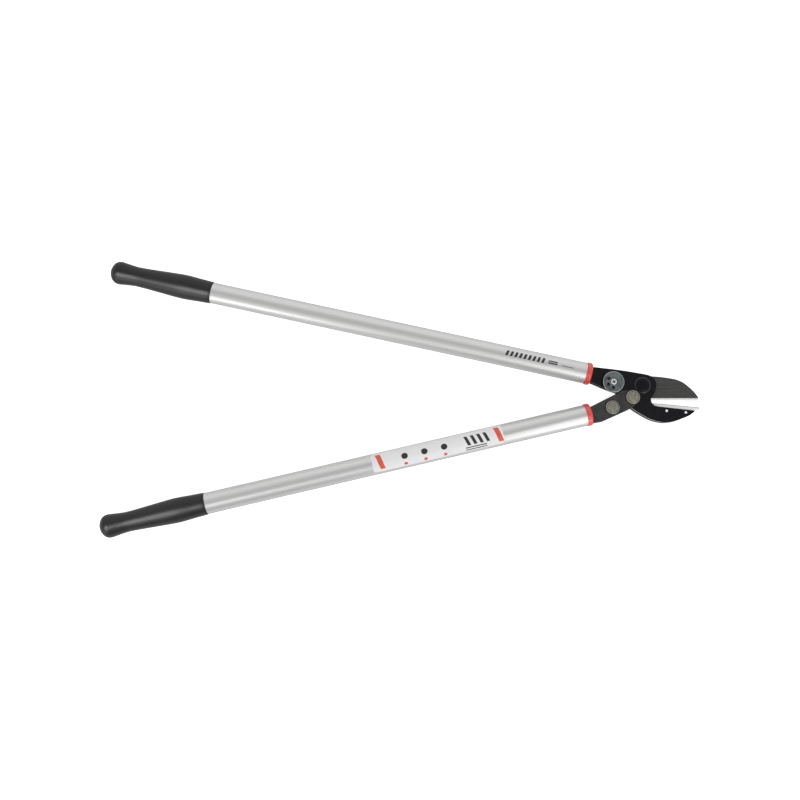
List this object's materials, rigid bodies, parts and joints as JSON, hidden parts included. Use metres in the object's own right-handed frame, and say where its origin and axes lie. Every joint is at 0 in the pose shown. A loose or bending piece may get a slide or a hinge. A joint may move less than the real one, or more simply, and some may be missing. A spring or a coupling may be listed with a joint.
{
  "type": "anvil lopper",
  "caption": "Long-handled anvil lopper with a black hook head, a compound lever, a grey blade, a stop dial, silver tube handles, red collars and black grips.",
  "frame": {"origin": "on the axis of the main pivot, at the flat rear face of its nut, which is the plane that the tool lies on", "axes": "+Z is the axis of all pivots and points to the side with the dial, +X points to the tip of the blade, and the handles run towards -X"},
  "size_m": [0.833, 0.3912, 0.0346],
  "materials": {
    "grip": "matte black plastic",
    "tube": "satin drawn tube",
    "collar": "glossy red plastic",
    "hook_black": "gloss black coating on steel",
    "lever_grey": "satin dark grey coating on steel",
    "blade_grey": "satin dark grey coating on steel, edge ground bright",
    "zinc": "dull plated steel",
    "dial": "dull plated steel",
    "bright": "bright plated steel",
    "anvil": "bare light alloy"
  },
  "bodies": {
    "anvil_side": {"upper_grip": "grip", "upper_tube": "tube", "upper_collar": "collar", "hook_front": "hook_black", "hook_rear": "hook_black", "upper_spacer": "zinc", "anvil": "anvil", "anvil_rivets": "anvil", "pivot_bolt": "hook_black", "pivot_bush": "zinc", "pivot_washer": "zinc", "pivot_nut": "zinc", "lever_pivot_front": "zinc", "lever_pivot_rear": "zinc", "dial_screw": "bright", "dial_bush": "zinc", "dial_washer": "zinc", "dial_nut": "zinc"},
    "stop_dial": {"stop_dial": "dial", "stop_cam": "lever_grey"},
    "blade": {"blade": "blade_grey"},
    "lower_lever": {"lever_front": "lever_grey", "lever_rear": "lever_grey", "lever_spacer": "zinc", "drive_bolt": "zinc", "drive_sleeves": "zinc", "drive_roller": "zinc", "drive_nut": "zinc", "lower_collar": "collar", "lower_tube": "tube", "lower_grip": "grip"}
  },
  "joints": [
    {"name": "lever_swing", "type": "hinge", "parent": "anvil_side", "child": "lower_lever", "pos_m": [-0.0148, -0.0173, 0.0173], "axis": [0, 0, 1], "range_deg": [-8, 57]},
    {"name": "blade_swing", "type": "hinge", "parent": "anvil_side", "child": "blade", "pos_m": [0, 0, 0.0173], "axis": [0, 0, 1], "range_deg": [-4.7, 33.5]},
    {"name": "dial_turn", "type": "hinge", "parent": "anvil_side", "child": "stop_dial", "pos_m": [-0.0413, 0.0041, 0.02885], "axis": [0, 0, 1], "range_deg": [0, 120]}
  ],
  "couplings": [
    {"joint": "blade_swing", "follows": "lever_swing", "ratio": 0.5866}
  ]
}
